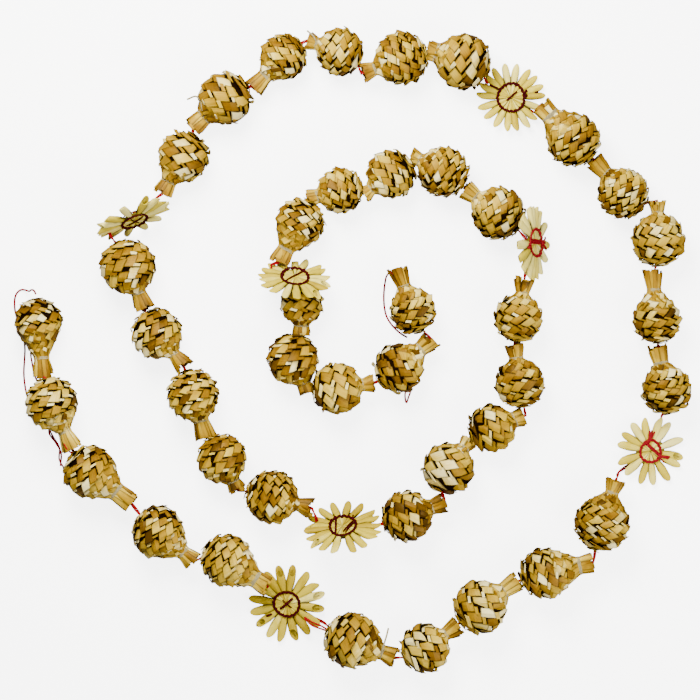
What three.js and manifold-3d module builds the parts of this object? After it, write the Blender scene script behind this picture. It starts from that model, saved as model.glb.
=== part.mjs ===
// A straw garland: plaited straw balls and straw suns strung on a doubled red thread,
// lying flat in a spiral on the plane z = 0. Millimetres, +Z up.
import * as THREE from "three";
import { mergeVertices } from "three/addons/utils/BufferGeometryUtils.js";
import Module from "manifold-3d";

const wasm = await Module();
wasm.setup();

// ---- driving dimensions -------------------------------------------------------------------

// The plaited ball: seven straws round, each ring of folds turned a little past half a straw
// from the one before, so that the faces between the folds are leaning diamonds.
const strawsRound = 7;
const ringTurn = 0.57; // of one straw, from each ring of folds to the next
const firstTurn = 0.29; // of one straw: brings a face of the plait square under the ball
const foldsFromBack = [25, 51, 77, 103, 128]; // degrees along the ball from its closed end
const foldProud = 1.03; // folds stand a little outside the ball's mean surface
const shoulderBulge = 1.1; // the last folds before the neck, against a straight cone
const restHeight = 0.89; // of the radius: the flat that a ball lies on is this far below its axis
const neckRadius = 3.2; // where the straws are tied together
const tailRadius = 4.9; // the cut ends fan out
const tailFlatness = 0.62; // the fan's thickness against its width
const usualTail = 8; // from the tie to the cut ends
const shortestNeck = 0.97; // of the radius: the tie is never nearer to the ball's middle
const stubbiestTail = 1.1; // of the radius: no tail ends nearer to the ball's middle
const tailToNextBead = 3; // room left for the thread where a tail meets the next bead

// The thread: two strands side by side, which fill one round of this radius.
const threadRadius = 0.8;
const threadSides = 6;
const clearance = 0.35; // between a thread and the straw it passes through or lies on
const boreSides = 4;
const boreRadius = (threadRadius + clearance) / Math.cos(Math.PI / boreSides);
const beyondTail = 0.9; // the thread runs straight this far past a tail's end before it bends
const beforeBack = 1.3; // and this far outside a ball's closed end

// The sun: straws crossed at the middle, pinched by a lashing and cut on a slant.
const rays = 16;
const rayStep = (2 * Math.PI) / rays;
const hubRadius = 6.8; // here the rays part
const hubHalfHeight = 1.5;
const rootHalfHeight = 1.1;
const tipHalfWidth = 2.15;
const tipHalfHeight = 1.7;
const slant = 4.6; // length of the slanted cut at a ray's tip
const tipUnderside = 0.6; // the cut's point is this share of tipHalfHeight below the middle
const lashingRadius = 7.9;
const lashingThickness = 0.45;
const besideHub = tipHalfHeight + clearance + threadRadius; // the thread's way past a sun
const gapRadius = 17; // where the thread slips between two rays
const pastRim = 1.3; // or the thread goes round a sun's rim, this far outside it

// The loose ends of the thread.
const looseRadius = 0.6;
const looseSides = 8;
const looseStep = 3.6;

const strawColour = 0xc9a04a;
const sunColour = 0xe9d894;
const threadColour = 0x9c1420;

// ---- the strand ---------------------------------------------------------------------------

const radians = THREE.MathUtils.degToRad;

// A ball lies with its middle at (x, y), its tail pointing along heading (degrees from +X),
// across is its diameter, and reach goes from its middle to the cut ends of its tail.
function ball(x, y, heading, across, reach) {
  const radius = across / 2;
  const along = new THREE.Vector2(Math.cos(radians(heading)), Math.sin(radians(heading)));
  return { kind: "ball", x, y, heading, radius, reach, along, height: radius * restHeight };
}

// A sun's face looks up, leaning by tilt degrees towards the heading lean. gap is the direction,
// in the sun's own plane, in which the thread slips between two rays. enter and leave say on
// which side of the sun the thread comes and goes: "front" is the lashed face.
function sun(x, y, radius, lean, tilt, cupped, gap, enter, leave) {
  return { kind: "sun", x, y, radius, lean, tilt, cupped, gap, enter, leave };
}

// The beads in the order in which they are strung, from the outer end of the spiral inwards.
const strand = [
  ball(-187, 17, -85, 30, 33.7),
  ball(-179, -32, -65, 33, 26.6),
  ball(-156, -73, -37, 33, 27.8),
  ball(-115, -109, -40, 33, 27.3),
  ball(-74, -126, -33, 33, 28.6),
  sun(-38, -153, 24, -133, 6.5, 0, 137, "front", "back"),
  ball(1, -174, -22, 35, 27.2),
  ball(45, -179, 35, 30.7, 23.3),
  ball(78, -154, 35, 33.6, 28),
  ball(117, -134, 13, 32, 29.4),
  ball(151, -104, 72, 35, 27.1),
  sun(181, -61, 21.5, -40, 7, 0, 240, "back", "back"),
  ball(190, -24, 102, 31.3, 26.4),
  ball(184, 18, 95, 30, 25.9),
  ball(185, 66, 92, 33.4, 22.8),
  ball(164, 94, 131, 31.8, 29.4),
  ball(134, 126, 133, 33.6, 28),
  sun(97, 152, 21.6, 60, 7, 0, -30, "front", "front"),
  ball(68, 173, 162, 34.5, 27.7),
  ball(31, 175, -159, 33.6, 25),
  ball(-6, 179, 161, 29.9, 20.3),
  ball(-40, 176, -134, 29, 28.4),
  ball(-75, 151, -138, 33, 27),
  ball(-100, 116, -120, 31.8, 25),
  sun(-129, 78, 24, -66, 72, 1.5, 40, "back", "front"),
  ball(-133, 50, -68, 34.5, 27.2),
  ball(-116, 10, -50, 31.5, 26),
  ball(-94, -27, -73, 32.5, 24.5),
  ball(-77, -65, -63, 31, 20.9),
  ball(-47, -88, -16, 33.4, 24.3),
  sun(-4.3, -106, 23.8, 96, 50, 1.5, 155, "front", "back"),
  ball(34, -100, 21, 32, 23.7),
  ball(59, -71, 53, 32, 24),
  ball(85, -47, 21, 29.6, 23),
  ball(102, -20, 99, 31, 24.7),
  ball(101, 19, 81, 30.6, 23.1),
  sun(110, 64, 23, 0, 62, 1.5, -100, "back", "back"),
  ball(89, 82, 144, 33.4, 26.6),
  ball(56, 107, 154, 32, 21),
  ball(24.8, 105.6, -143, 30.6, 22.7),
  ball(-5.6, 95.5, -177, 28.5, 20),
  ball(-30, 76.5, -118, 30.5, 26),
  sun(-33, 43, 22.5, 85, 55, 1.5, 140, "front", "back"),
  ball(-29, 28, -91, 27, 17),
  ball(-34, -5, -78, 32, 23),
  ball(-8, -23, 8, 32, 24.9),
  ball(29, -11, 41, 31, 25.6),
  ball(38, 24, 120, 29.7, 22.8),
];

// The loose end of the thread, from the back of the first ball, down onto the table, round the
// ball and on past its neck: the route's own points, chosen by hand.
const looseEndRoute = [
  [-188.6, 33.6, 13.4],
  [-189.8, 35.6, 11.6],
  [-191.6, 36.2, 8.6],
  [-193.4, 35.4, 5],
  [-196, 36.2, 2],
  [-198.6, 36.4, 0.75],
  [-201.2, 34.4, 0.75],
  [-202.6, 30, 0.75],
  [-202.4, 24.5, 0.75],
  [-200.6, 17.5, 0.75],
  [-198, 10, 0.75],
  [-196.4, 2, 0.75],
  [-196.6, -6, 0.75],
  [-197, -13, 0.75],
  [-196.4, -21, 0.75],
  [-195.2, -27, 0.75],
  [-193.8, -31, 0.75],
];

// The hanging loop at the inner end, from the last tail down beside the ball to the gap behind it.
const hangingLoopRoute = [
  [26.4, 45, 13.2],
  [24.4, 46.6, 11.4],
  [22.2, 44.8, 7.6],
  [21.2, 41, 3.4],
  [20.6, 36.5, 0.9],
  [20.4, 31, 0.75],
  [20.8, 25.5, 0.75],
  [22, 20.5, 0.75],
  [24.6, 16, 0.75],
  [28, 12.2, 0.75],
  [31.4, 9.4, 1],
  [34.6, 7.6, 1.6],
];

// ---- solids and booleans ------------------------------------------------------------------

// Turns a geometry into a closed solid: shared corners are merged and slivers at poles dropped.
function toSolid(geometry) {
  const bare = geometry.clone();
  bare.deleteAttribute("normal");
  bare.deleteAttribute("uv");
  const merged = mergeVertices(bare, 1e-4);
  const faces = [];
  const index = merged.index.array;
  for (let i = 0; i < index.length; i += 3) {
    const [a, b, c] = [index[i], index[i + 1], index[i + 2]];
    if (a !== b && b !== c && c !== a) {
      faces.push(a, b, c);
    }
  }
  return new wasm.Manifold(
    new wasm.Mesh({
      numProp: 3,
      vertProperties: merged.getAttribute("position").array,
      triVerts: new Uint32Array(faces),
    })
  );
}

function fromSolid(solid) {
  const mesh = solid.getMesh();
  const geometry = new THREE.BufferGeometry();
  geometry.setAttribute("position", new THREE.BufferAttribute(new Float32Array(mesh.vertProperties), 3));
  geometry.setIndex(new THREE.BufferAttribute(new Uint32Array(mesh.triVerts), 1));
  return geometry;
}

// ---- the plaited ball ---------------------------------------------------------------------

// Half the ball's section, from the closed end to the cut ends: [radius, place along the axis].
function ballProfile({ radius, reach }) {
  const tail = Math.min(usualTail, reach - radius * shortestNeck);
  const tie = reach - tail;
  const folds = foldsFromBack.map((degrees) => {
    const turn = radians(degrees);
    return [radius * foldProud * Math.sin(turn), -radius * Math.cos(turn)];
  });
  const [lastRadius, lastPlace] = folds[folds.length - 1];
  const shoulder = [((lastRadius + neckRadius) / 2) * shoulderBulge, (lastPlace + tie) / 2];
  const fan = neckRadius + ((tailRadius - neckRadius) * tail) / usualTail;
  return [
    [0, -radius],
    ...folds,
    shoulder,
    [neckRadius, tie],
    [fan, reach],
    [0, reach],
  ].map(([x, y]) => new THREE.Vector2(x, y));
}

// Turns each ring of folds about the axis, flattens the fan of cut ends, and levels the lowest
// face, on which the ball lies.
function plait(geometry, bead, rings) {
  const position = geometry.getAttribute("position");
  const point = new THREE.Vector3();
  const axis = new THREE.Vector3(1, 0, 0);
  for (let i = 0; i < position.count; i += 1) {
    point.fromBufferAttribute(position, i);
    const ring = i % rings;
    point.applyAxisAngle(axis, ((ring * ringTurn + firstTurn) * 2 * Math.PI) / strawsRound);
    if (ring >= rings - 2) {
      point.z *= tailFlatness;
    }
    point.z = Math.max(point.z, -bead.height);
    position.setXYZ(i, point.x, point.y, point.z);
  }
}

function ballGeometry(bead) {
  const profile = ballProfile(bead);
  const body = new THREE.LatheGeometry(profile, strawsRound);
  body.rotateZ(-Math.PI / 2); // the lathe's axis +Y becomes the ball's axis +X
  plait(body, bead, profile.length);
  const length = 3 * bead.reach;
  const bore = new THREE.CylinderGeometry(boreRadius, boreRadius, length, boreSides);
  bore.rotateZ(-Math.PI / 2);
  return fromSolid(toSolid(body).subtract(toSolid(bore)));
}

// ---- the sun ------------------------------------------------------------------------------

// How far a cupped sun's straws have sunk below the flat at this distance from its middle.
function sinkAt(distance, { radius, cupped }) {
  return cupped * Math.max(0, (distance - hubRadius) / (radius - hubRadius));
}

// The straws of a sun as one body. Each ray is a four-sided straw from the hub to a tip cut on a
// slant, lowest at its point, and the hub is pleated between the rays' roots.
class SunGeometry extends THREE.BufferGeometry {
  constructor(bead) {
    super();
    const { radius, gap } = bead;
    const points = [];
    const faces = [];
    const place = (distance, angle, side, height) => {
      const x = distance * Math.cos(angle) - side * Math.sin(angle);
      const y = distance * Math.sin(angle) + side * Math.cos(angle);
      points.push(x, y, height - sinkAt(distance, bead));
      return points.length / 3 - 1;
    };
    const top = place(0, 0, 0, hubHalfHeight);
    const bottom = place(0, 0, 0, -hubHalfHeight);
    const first = radians(gap) + rayStep / 2;
    const valleys = [];
    for (let k = 0; k < rays; k += 1) {
      valleys.push(place(hubRadius, first + (k - 0.5) * rayStep, 0, 0));
    }
    for (let k = 0; k < rays; k += 1) {
      const angle = first + k * rayStep;
      const before = valleys[k];
      const after = valleys[(k + 1) % rays];
      const rootTop = place(hubRadius, angle, 0, rootHalfHeight);
      const rootBottom = place(hubRadius, angle, 0, -rootHalfHeight);
      const tipTop = place(radius - slant, angle, 0, tipHalfHeight);
      const tipBottom = place(radius, angle, 0, -tipHalfHeight * tipUnderside);
      const tipRight = place(radius - slant / 2, angle, -tipHalfWidth, 0);
      const tipLeft = place(radius - slant / 2, angle, tipHalfWidth, 0);
      faces.push(top, before, rootTop, top, rootTop, after);
      faces.push(bottom, rootBottom, before, bottom, after, rootBottom);
      faces.push(rootTop, before, tipRight, rootTop, tipRight, tipTop);
      faces.push(rootTop, tipTop, tipLeft, rootTop, tipLeft, after);
      faces.push(rootBottom, tipRight, before, rootBottom, tipBottom, tipRight);
      faces.push(rootBottom, tipLeft, tipBottom, rootBottom, after, tipLeft);
      faces.push(tipTop, tipRight, tipBottom, tipTop, tipBottom, tipLeft);
    }
    this.setAttribute("position", new THREE.Float32BufferAttribute(points, 3));
    this.setIndex(faces);
  }
}

// Where a sun's own frame stands: its lowest straw touches the table, or the thread under it does.
function sunPlace(bead) {
  const axis = new THREE.Vector3(-Math.sin(radians(bead.lean)), Math.cos(radians(bead.lean)), 0);
  const turned = new THREE.Matrix4().makeRotationAxis(axis, radians(bead.tilt));
  const straws = new SunGeometry(bead).applyMatrix4(turned);
  straws.computeBoundingBox();
  const height = Math.max(-straws.boundingBox.min.z, besideHub + threadRadius);
  return turned.setPosition(bead.x, bead.y, height);
}

function lashingGeometry() {
  const ring = new THREE.TorusGeometry(lashingRadius, lashingThickness, 3, 12);
  return ring.translate(0, 0, rootHalfHeight + clearance + 1.2 * lashingThickness);
}

// ---- the thread ---------------------------------------------------------------------------

// A route of straight runs, whose corners are exactly the tube's rings.
class StraightRuns extends THREE.Curve {
  constructor(corners) {
    super();
    this.corners = corners;
  }
  getPoint(t, target = new THREE.Vector3()) {
    const place = THREE.MathUtils.clamp(t, 0, 1) * (this.corners.length - 1);
    const run = Math.min(Math.floor(place), this.corners.length - 2);
    return target.copy(this.corners[run]).lerp(this.corners[run + 1], place - run);
  }
  getUtoTmapping(u) {
    return u;
  }
}

function tube(path, radius, sides, steps) {
  const section = new THREE.Shape();
  for (let k = 0; k < sides; k += 1) {
    const turn = (2 * Math.PI * k) / sides;
    section[k === 0 ? "moveTo" : "lineTo"](radius * Math.cos(turn), radius * Math.sin(turn));
  }
  section.closePath();
  return new THREE.ExtrudeGeometry(section, { steps, extrudePath: path, bevelEnabled: false });
}

// The thread runs straight through a ball, from outside its closed end to beyond its tail.
function threadThroughBall({ x, y, height, along, radius, reach }) {
  return [-(radius + beforeBack), reach + beyondTail].map(
    (s) => new THREE.Vector3(x + along.x * s, y + along.y * s, height)
  );
}

// At a sun the thread passes behind the hub. It slips between two rays where it comes or goes in
// front of the sun, and goes round the rim where it would otherwise cut through the rays.
function threadPastSun(bead, from, to) {
  const frame = sunPlace(bead);
  const inward = frame.clone().invert();
  const place = (distance, angle, height) =>
    new THREE.Vector3(distance * Math.cos(angle), distance * Math.sin(angle), height).applyMatrix4(frame);
  const way = (side, angle, neighbour) => {
    if (side === "front") {
      const below = -besideHub - sinkAt(gapRadius, bead);
      return [place(gapRadius, angle, besideHub), place(gapRadius, angle, below)];
    }
    const seen = neighbour.clone().applyMatrix4(inward);
    const rim = place(bead.radius + pastRim, Math.atan2(seen.y, seen.x), -besideHub);
    return seen.z > -besideHub ? [rim] : [];
  };
  const gap = radians(bead.gap);
  const comes = way(bead.enter, gap, from);
  const goes = way(bead.leave, gap + Math.PI, to).reverse();
  return [...comes, place(0, 0, -besideHub), ...goes];
}

// A tail stops short of the next ball, by the room that the thread needs, and doesn't reach past
// the point where the thread goes into it.
function trimTails(beads) {
  beads.forEach((bead, i) => {
    const next = beads[i + 1];
    if (bead.kind !== "ball" || !next || next.kind !== "ball") {
      return;
    }
    const middle = new THREE.Vector2(bead.x, bead.y);
    const nextMiddle = new THREE.Vector2(next.x, next.y);
    const entry = nextMiddle.clone().addScaledVector(next.along, -(next.radius + beforeBack)).sub(middle);
    const sideways = Math.abs(entry.cross(bead.along));
    if (sideways < tailRadius + threadRadius + clearance) {
      const shortest = bead.radius * stubbiestTail;
      const beforeEntry = entry.dot(bead.along) - threadRadius - clearance;
      bead.reach = Math.max(shortest, Math.min(bead.reach, beforeEntry));
    }
    const spare = () => {
      const tip = middle.clone().addScaledVector(bead.along, bead.reach);
      return tip.distanceTo(nextMiddle) - next.radius * foldProud;
    };
    while (spare() < tailToNextBead && bead.reach > bead.radius * stubbiestTail) {
      bead.reach -= 0.1;
    }
  });
}

// ---- the garland --------------------------------------------------------------------------

const straw = () => new THREE.MeshStandardMaterial({ color: strawColour, roughness: 0.45, metalness: 0 });
const paleStraw = () => new THREE.MeshStandardMaterial({ color: sunColour, roughness: 0.5, metalness: 0 });
const cotton = () => new THREE.MeshStandardMaterial({ color: threadColour, roughness: 0.8, metalness: 0 });

function named(name, geometry, material) {
  const mesh = new THREE.Mesh(geometry, material);
  mesh.name = name;
  return mesh;
}

const garland = new THREE.Group();
garland.name = "straw_garland";
trimTails(strand);

const balls = strand.filter((bead) => bead.kind === "ball");
balls.forEach((bead, i) => {
  const mesh = named(`ball_${String(i + 1).padStart(2, "0")}`, ballGeometry(bead), straw());
  mesh.position.set(bead.x, bead.y, bead.height);
  mesh.rotation.z = radians(bead.heading);
  garland.add(mesh);
});

const suns = strand.filter((bead) => bead.kind === "sun");
suns.forEach((bead, i) => {
  const placed = new THREE.Group();
  placed.add(named(`sun_${i + 1}`, new SunGeometry(bead), paleStraw()));
  placed.add(named(`sun_lashing_${i + 1}`, lashingGeometry(), cotton()));
  placed.applyMatrix4(sunPlace(bead));
  garland.add(placed);
});

const corners = strand.flatMap((bead, i) => {
  if (bead.kind === "ball") {
    return threadThroughBall(bead);
  }
  const [, from] = threadThroughBall(strand[i - 1]);
  const [to] = threadThroughBall(strand[i + 1]);
  return threadPastSun(bead, from, to);
});
const strung = tube(new StraightRuns(corners), threadRadius, threadSides, corners.length - 1);
garland.add(named("thread", strung, cotton()));

// The middle of the strand's outline stands over the origin; the loose ends don't count.
const middle = new THREE.Box3().setFromObject(garland, true).getCenter(new THREE.Vector3());
garland.position.set(-middle.x, -middle.y, 0);

function looseCord(name, route) {
  const path = new THREE.CatmullRomCurve3(route.map((p) => new THREE.Vector3(...p)));
  const steps = Math.round(path.getLength() / looseStep);
  return named(name, tube(path, looseRadius, looseSides, steps), cotton());
}
garland.add(looseCord("loose_end", looseEndRoute));
garland.add(looseCord("hanging_loop", hangingLoopRoute));

export default garland;
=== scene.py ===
# %% [markdown]
# # A straw garland
#
# Forty-one plaited straw balls and seven straw suns are strung on a doubled red thread, and the
# strand lies in a flat spiral on a pale table. The CAD model gives the place, heading and size of
# every bead. This script reads them from it and builds the beads that the eye sees:
#
# - a ball is a plait of flat straws: rows of leaning faces, each a little proud at its tail-side edge,
#   with dark gaps and slivers of the crossing straw between them;
# - a sun is a ring of whole straws, pinched by a red lashing and cut on a slant at their tips;
# - the thread is two strands of red cotton that show wherever the beads part.

import bmesh
import bpy
import numpy as np
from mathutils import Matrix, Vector


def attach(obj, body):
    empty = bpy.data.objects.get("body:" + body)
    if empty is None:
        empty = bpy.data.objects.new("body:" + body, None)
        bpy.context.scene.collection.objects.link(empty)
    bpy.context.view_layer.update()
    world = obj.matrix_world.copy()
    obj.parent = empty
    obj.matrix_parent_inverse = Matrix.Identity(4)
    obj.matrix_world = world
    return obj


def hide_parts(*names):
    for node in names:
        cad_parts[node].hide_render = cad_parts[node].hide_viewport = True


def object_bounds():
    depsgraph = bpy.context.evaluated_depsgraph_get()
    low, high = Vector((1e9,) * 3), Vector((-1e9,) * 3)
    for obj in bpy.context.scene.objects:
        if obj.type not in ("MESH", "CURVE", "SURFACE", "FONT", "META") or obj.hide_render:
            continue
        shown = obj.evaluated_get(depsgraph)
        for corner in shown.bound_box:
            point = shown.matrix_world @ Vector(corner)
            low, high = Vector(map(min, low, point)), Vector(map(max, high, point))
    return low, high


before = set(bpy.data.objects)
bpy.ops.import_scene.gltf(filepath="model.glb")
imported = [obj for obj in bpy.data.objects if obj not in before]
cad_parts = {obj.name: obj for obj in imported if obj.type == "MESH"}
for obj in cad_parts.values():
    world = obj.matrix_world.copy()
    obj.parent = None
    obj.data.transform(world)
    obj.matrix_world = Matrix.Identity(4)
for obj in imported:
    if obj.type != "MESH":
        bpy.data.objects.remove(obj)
cad_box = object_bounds()
mm = 0.001
print("CAD box", [tuple(round(v, 4) for v in corner) for corner in cad_box])

# %% [markdown]
# ## Light, floor and camera
#
# The camera looks straight down from two metres, so that the strand is hardly foreshortened. It frames
# a square of 420 mm at the height of the balls' middles.

# %%
VIEW_WIDTH = 420 * mm
VIEW_HEIGHT = 2.0
BALL_MIDDLE = 14 * mm
FRAME_SHIFT = (-1.9 * mm, 0.05 * mm)  # the frame's middle, beside the strand's

camera = bpy.data.objects.new("camera", bpy.data.cameras.new("camera"))
bpy.context.collection.objects.link(camera)
camera.location = (*FRAME_SHIFT, VIEW_HEIGHT + BALL_MIDDLE)
camera.data.lens = camera.data.sensor_width * VIEW_HEIGHT / VIEW_WIDTH
bpy.context.scene.camera = camera


def area_light(name, place, width, watts, colour=(1, 1, 1)):
    """A square soft box of this width at place, facing the strand."""
    light = bpy.data.lights.new(name, "AREA")
    light.size = width
    light.energy = watts
    light.color = colour
    holder = bpy.data.objects.new(name, light)
    holder.location = place
    holder.rotation_euler = (-Vector(place)).to_track_quat("-Z", "Y").to_euler()
    bpy.context.collection.objects.link(holder)


area_light("key light", (-0.15, 0.45, 0.6), 0.4, 17.5, (1.0, 0.99, 0.95))
area_light("fill light", (0.7, -0.45, 0.7), 0.8, 17)

world = bpy.data.worlds.new("studio")
world.use_nodes = True
world.node_tree.nodes["Background"].inputs["Color"].default_value = (1, 1, 1, 1)
world.node_tree.nodes["Background"].inputs["Strength"].default_value = 0.22
bpy.context.scene.world = world
print("camera at", tuple(round(v, 3) for v in camera.location), "lens", round(camera.data.lens, 1))

# %% [markdown]
# ## Materials
#
# Every colour of the garland is written as an sRGB hex value and turned linear by one function.
# `node` adds one node with its settings and links.

# %%
def linear(hex_colour):
    """The linear RGBA of an sRGB colour such as "c9a04a": each part c becomes c / 12.92 where it is
    small, and otherwise ((c + 0.055) / 1.055) to the power 2.4."""
    srgb = np.array([int(hex_colour[i : i + 2], 16) for i in (0, 2, 4)]) / 255
    return (*np.where(srgb <= 0.04045, srgb / 12.92, ((srgb + 0.055) / 1.055) ** 2.4), 1.0)


def node(tree, kind, inputs=None, **settings):
    """Adds one node. inputs maps a socket's name or number to a value, or to the socket it comes from."""
    made = tree.nodes.new(kind)
    for key, value in settings.items():
        setattr(made, key, value)
    for key, value in (inputs or {}).items():
        if isinstance(value, bpy.types.NodeSocket):
            tree.links.new(value, made.inputs[key])
        else:
            made.inputs[key].default_value = value
    return made


def new_material(name):
    """An empty node material: its tree, and its Principled shader."""
    made = bpy.data.materials.new(name)
    made.use_nodes = True
    return made, made.node_tree, made.node_tree.nodes["Principled BSDF"]


def ramp(tree, factor, stops):
    """A colour ramp through stops, a list of (place, hex colour)."""
    made = node(tree, "ShaderNodeValToRGB", {"Fac": factor})
    band = made.color_ramp
    while len(band.elements) < len(stops):
        band.elements.new(1.0)
    for element, (place, colour) in zip(band.elements, stops):
        element.position = place
        element.color = linear(colour)
    return made.outputs["Color"]


# %% [markdown]
# Straw has a waxy skin with a fine grain along it. The grain follows the piece's own UV map, which
# is in millimetres: across the straw first, then along it. Two attributes ride on every face: `tone`,
# from the brown straws to the cream ones, and `shade`, painted shade of the tucked parts and the gaps.
# The highlights are tinted yellow, which keeps the straw golden where it is brightest.

# %%
def straw_material(name, stops, roughness, grain_depth):
    """Straw: stops are its colours by tone, and the grain is stretched 20 to 1 along each straw."""
    made, tree, shader = new_material(name)
    uv = node(tree, "ShaderNodeUVMap", uv_map="Straw").outputs["UV"]
    tone = node(tree, "ShaderNodeAttribute", attribute_name="tone").outputs["Fac"]
    shade = node(tree, "ShaderNodeAttribute", attribute_name="shade").outputs["Fac"]
    stretched = node(tree, "ShaderNodeMapping", {"Vector": uv, "Scale": (2.6, 0.13, 1)}).outputs["Vector"]
    grain = node(
        tree, "ShaderNodeTexNoise", {"Vector": stretched, "Scale": 1.0, "Detail": 4.0, "Roughness": 0.65}
    ).outputs["Fac"]
    patches = node(
        tree, "ShaderNodeTexNoise", {"Vector": uv, "Scale": 0.16, "Detail": 2.0}
    ).outputs["Fac"]
    streaked = node(
        tree, "ShaderNodeMath", {0: grain, 1: 0.45, 2: tone}, operation="MULTIPLY_ADD"
    ).outputs[0]
    mottled = node(
        tree, "ShaderNodeMath", {0: patches, 1: 0.35, 2: streaked}, operation="MULTIPLY_ADD"
    ).outputs[0]
    level = node(tree, "ShaderNodeMath", {0: mottled, 1: 0.4}, operation="SUBTRACT").outputs[0]
    colour = ramp(tree, level, stops)
    # painted shade: the shade attribute mixes the straw's colour towards a near-black brown
    dark = node(
        tree,
        "ShaderNodeMix",
        {"Factor": shade, "A": colour, "B": linear("1c0d02")},
        data_type="RGBA",
    )
    tree.links.new(dark.outputs[2], shader.inputs["Base Color"])
    gloss = node(
        tree, "ShaderNodeMath", {0: grain, 1: 0.25, 2: roughness - 0.12}, operation="MULTIPLY_ADD"
    ).outputs[0]
    tree.links.new(gloss, shader.inputs["Roughness"])
    shader.inputs["Specular IOR Level"].default_value = 0.2
    shader.inputs["Specular Tint"].default_value = linear("ffe096")
    bump = node(
        tree, "ShaderNodeBump", {"Height": grain, "Strength": 0.6, "Distance": grain_depth}
    ).outputs["Normal"]
    tree.links.new(bump, shader.inputs["Normal"])
    return made


golden_straw = straw_material(
    "golden plaited straw",
    [(0.0, "442b00"), (0.25, "785202"), (0.5, "a37e10"), (0.75, "ccac38"), (1.0, "f6e49c")],
    0.42,
    0.12 * mm,
)
pale_straw = straw_material(
    "pale straw of the suns",
    [(0.0, "7c6204"), (0.35, "a88e14"), (0.65, "cab42e"), (1.0, "f2e484")],
    0.42,
    0.08 * mm,
)


def thread_material(name, dark, light, roughness):
    """Twisted yarn: the UV map runs round the yarn and then along it, and the twist is a slanting wave."""
    made, tree, shader = new_material(name)
    uv = node(tree, "ShaderNodeUVMap", uv_map="Straw").outputs["UV"]
    twist = node(
        tree,
        "ShaderNodeTexWave",
        {"Vector": uv, "Scale": 1.1, "Distortion": 1.5, "Detail": 2.0},
        wave_type="BANDS",
        bands_direction="DIAGONAL",
    ).outputs["Fac"]
    tree.links.new(ramp(tree, twist, [(0.0, dark), (1.0, light)]), shader.inputs["Base Color"])
    bump = node(tree, "ShaderNodeBump", {"Height": twist, "Strength": 0.5, "Distance": 0.15 * mm})
    tree.links.new(bump.outputs["Normal"], shader.inputs["Normal"])
    shader.inputs["Roughness"].default_value = roughness
    shader.inputs["Specular IOR Level"].default_value = 0.06
    return made


# %% [markdown]
# The thread itself is a clear red, most lashings have darkened almost to brown, and the lashings of
# two suns are a brighter crimson. The ties are pale, dull twine. The near-black inside of each ball is
# painted shade that gives the gaps of the plait their depth. The table glows, so that it reads as pure white.

# %%
red_thread = thread_material("red cotton thread", "5c0208", "b80c16", 0.7)
lashing_thread = thread_material("dark red lashing", "160001", "4a0004", 0.7)
crimson_thread = thread_material("crimson lashing", "40040c", "a00e1a", 0.7)
pale_twine = thread_material("pale twine of the ties", "776c48", "b3a67c", 0.85)

painted_shade_inside, _, painted_shade_shader = new_material("painted shade inside a ball")
# near-black brown: painted shade for the ball's inside
painted_shade_shader.inputs["Base Color"].default_value = linear("120802")
painted_shade_shader.inputs["Roughness"].default_value = 1.0
painted_shade_shader.inputs["Specular IOR Level"].default_value = 0.0

table_white, _, table_shader = new_material("white table")
table_shader.inputs["Base Color"].default_value = (0.9, 0.9, 0.9, 1)
table_shader.inputs["Roughness"].default_value = 0.8
table_shader.inputs["Emission Color"].default_value = (1, 1, 1, 1)
table_shader.inputs["Emission Strength"].default_value = 5.0
print("materials", [m.name for m in bpy.data.materials])

# %% [markdown]
# ## Mesh helpers
#
# Shapes are grids of points. A `Batch` collects grids, closes each into a body, and turns all of
# them into one mesh with its UV map and its two attributes.

# %%
def grid_quads(rows, columns, wrap_rows=False, wrap_columns=False):
    """Quads over a grid of points numbered row by row; a wrapped direction joins its end to its start."""
    r = np.arange(rows if wrap_rows else rows - 1)[:, None]
    c = np.arange(columns if wrap_columns else columns - 1)[None, :]
    r2, c2 = (r + 1) % rows, (c + 1) % columns
    corners = r * columns + c, r * columns + c2, r2 * columns + c2, r2 * columns + c
    return np.stack(np.broadcast_arrays(*corners), -1).reshape(-1, 4)


def unit(vectors):
    """Each vector over its own length."""
    return vectors / np.maximum(np.linalg.norm(vectors, axis=-1, keepdims=True), 1e-12)


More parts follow.
